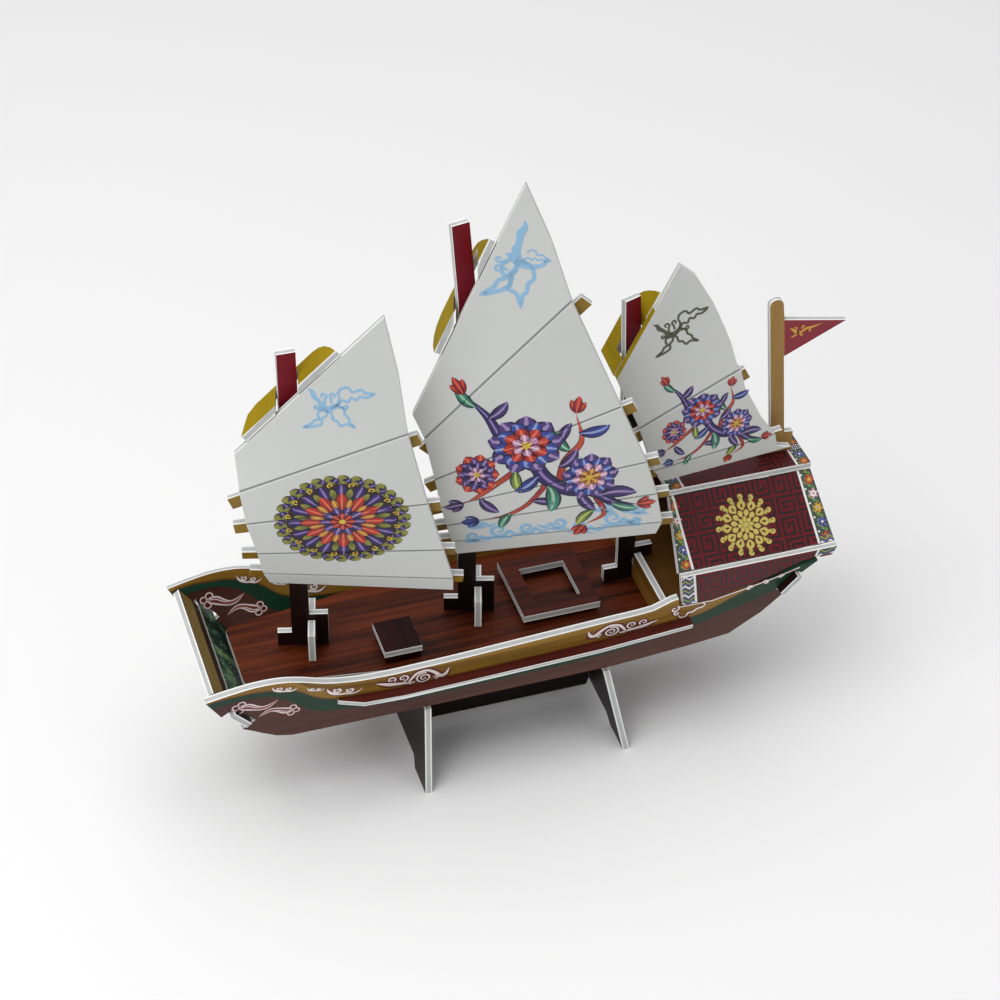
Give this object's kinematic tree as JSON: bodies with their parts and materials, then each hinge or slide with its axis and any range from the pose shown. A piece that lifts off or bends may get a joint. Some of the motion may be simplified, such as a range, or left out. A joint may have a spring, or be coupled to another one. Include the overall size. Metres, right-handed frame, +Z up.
{
  "type": "model chinese junk ship",
  "caption": "Desk model of a Chinese junk with battened sails, hollow stern cabin, deck hatches and pennant, slotted together from printed foam boards on its own stand.",
  "frame": {"origin": "bottom centre of the model's box, on the surface that the stand's feet rest on", "axes": "+X towards the stern, -X towards the bow, +Y to starboard, +Z up"},
  "size_m": [0.2202, 0.0652, 0.2156],
  "materials": {
    "hull_print": "satin printed paper on white foam board",
    "deck_print": "satin printed paper on white foam board",
    "bow_print": "satin printed paper on white foam board",
    "poop_print": "satin printed paper on white foam board",
    "stand_print": "satin printed paper on white foam board",
    "mast_print": "satin printed paper on white foam board",
    "sail_print": "satin printed paper on white foam board",
    "batten_print": "satin printed paper on white foam board",
    "roof_print": "satin printed paper on white foam board",
    "pole_print": "satin printed paper on white foam board"
  },
  "bodies": {
    "root": {"hull_side_port": "hull_print", "hull_side_starboard": "hull_print", "wale_port": "deck_print", "wale_starboard": "deck_print", "hull_bottom": "deck_print", "hull_bottom_aft": "deck_print", "bow_plate": "bow_print", "stern_plate": "bow_print", "main_deck": "deck_print", "deck_step_bulkhead": "poop_print", "poop_floor": "poop_print", "stand_fore": "stand_print", "stand_aft": "stand_print", "stand_centre_plate": "stand_print", "foremast": "mast_print", "foremast_foot": "mast_print", "mainmast": "mast_print", "mainmast_foot": "mast_print", "mizzenmast": "mast_print", "foresail": "sail_print", "foresail_batten_1": "batten_print", "foresail_batten_2": "batten_print", "foresail_batten_3": "batten_print", "foresail_batten_4": "batten_print", "foresail_head_rib": "batten_print", "mainsail": "sail_print", "mainsail_batten_1": "batten_print", "mainsail_batten_2": "batten_print", "mainsail_batten_3": "batten_print", "mainsail_batten_4": "batten_print", "mainsail_batten_5": "batten_print", "mainsail_head_rib": "batten_print", "mizzen_sail": "sail_print", "mizzen_sail_batten_1": "batten_print", "mizzen_sail_batten_2": "batten_print", "mizzen_sail_head_rib": "batten_print", "cabin_top": "roof_print", "cabin_slope_port": "roof_print", "cabin_slope_starboard": "roof_print", "cabin_side_port": "roof_print", "cabin_side_starboard": "roof_print", "cabin_rear_wall": "roof_print", "flagpole": "pole_print", "small_hatch_lid": "deck_print", "small_hatch_coaming": "deck_print", "large_hatch_frame": "deck_print", "large_hatch_coaming": "deck_print"}
  },
  "joints": []
}
